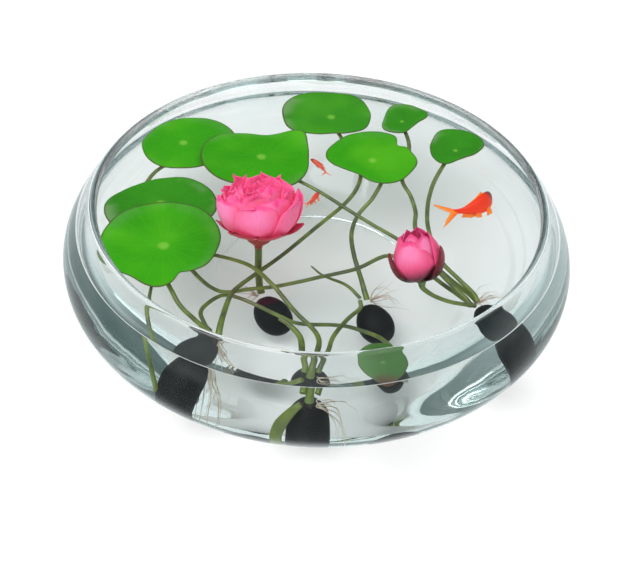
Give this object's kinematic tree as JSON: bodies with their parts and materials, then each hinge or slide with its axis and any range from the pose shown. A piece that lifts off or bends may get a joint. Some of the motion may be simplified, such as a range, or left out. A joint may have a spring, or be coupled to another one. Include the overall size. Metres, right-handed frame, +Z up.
{
  "type": "lotus flower in a glass bowl of water",
  "caption": "Low round glass bowl of water with floating lotus leaves, an open pink flower, a half-open bud, sprouting seeds and small goldfish.",
  "frame": {"origin": "on the bowl axis at the underside of the foot", "axes": "+Z up along the bowl axis; -Y towards the viewer of the front, +X to the right"},
  "size_m": [0.2, 0.2, 0.0806],
  "materials": {
    "clear_glass": "clear soda glass, fire-polished",
    "water": "clear still water",
    "leaf_green": "fresh waxy leaf, bright green",
    "leaf_dark_green": "fresh waxy leaf, darker green",
    "leaf_young": "young leaf, pale olive green",
    "stem_olive": "smooth olive stem",
    "seed_black": "near-black matte seed coat",
    "root_pale": "pale roots",
    "petal_pink": "pink petal",
    "petal_crimson": "dark red petal and flower base",
    "bud_magenta": "magenta petal",
    "bud_maroon": "maroon outer petal",
    "fish_orange": "orange fish skin",
    "fish_red": "red fish skin"
  },
  "bodies": {
    "root": {"glass_bowl": "clear_glass", "water": "water", "leaf_young": "leaf_young", "goldfish": "fish_orange", "small_fish_1": "fish_red", "small_fish_2": "fish_red", "stem_lotus": "petal_crimson", "lotus_heart": "petal_pink", "bud_heart": "bud_magenta", "leaf_a": "leaf_green", "leaf_b": "leaf_green", "leaf_d": "leaf_green", "leaf_f": "leaf_green", "leaf_c": "leaf_dark_green", "leaf_e": "leaf_dark_green", "leaf_g": "leaf_dark_green", "leaf_h": "leaf_dark_green", "stem_a": "stem_olive", "stem_b": "stem_olive", "stem_c": "stem_olive", "stem_d": "stem_olive", "stem_e": "stem_olive", "stem_f": "stem_olive", "stem_g": "stem_olive", "stem_h": "stem_olive", "stem_young": "stem_olive", "runner": "stem_olive", "shoot_mid": "stem_olive", "shoot_left": "stem_olive", "spike": "stem_olive", "stem_bud": "stem_olive", "shoot_loop": "stem_olive", "seed_1": "seed_black", "roots_1": "root_pale", "seed_2": "seed_black", "roots_2": "root_pale", "seed_3": "seed_black", "roots_3": "root_pale", "seed_4": "seed_black", "roots_4": "root_pale", "seed_5": "seed_black", "roots_5": "root_pale", "lotus_petal_outer_1": "petal_crimson", "lotus_petal_inner_1": "petal_pink", "lotus_petal_outer_2": "petal_crimson", "lotus_petal_inner_2": "petal_pink", "lotus_petal_outer_3": "petal_crimson", "lotus_petal_inner_3": "petal_pink", "lotus_petal_outer_4": "petal_crimson", "lotus_petal_inner_4": "petal_pink", "lotus_petal_outer_5": "petal_crimson", "lotus_petal_inner_5": "petal_pink", "lotus_petal_outer_6": "petal_crimson", "lotus_petal_inner_6": "petal_pink", "bud_petal_outer_1": "bud_maroon", "bud_petal_inner_1": "bud_magenta", "bud_petal_outer_2": "bud_maroon", "bud_petal_inner_2": "bud_magenta", "bud_petal_outer_3": "bud_maroon", "bud_petal_inner_3": "bud_magenta"}
  },
  "joints": []
}
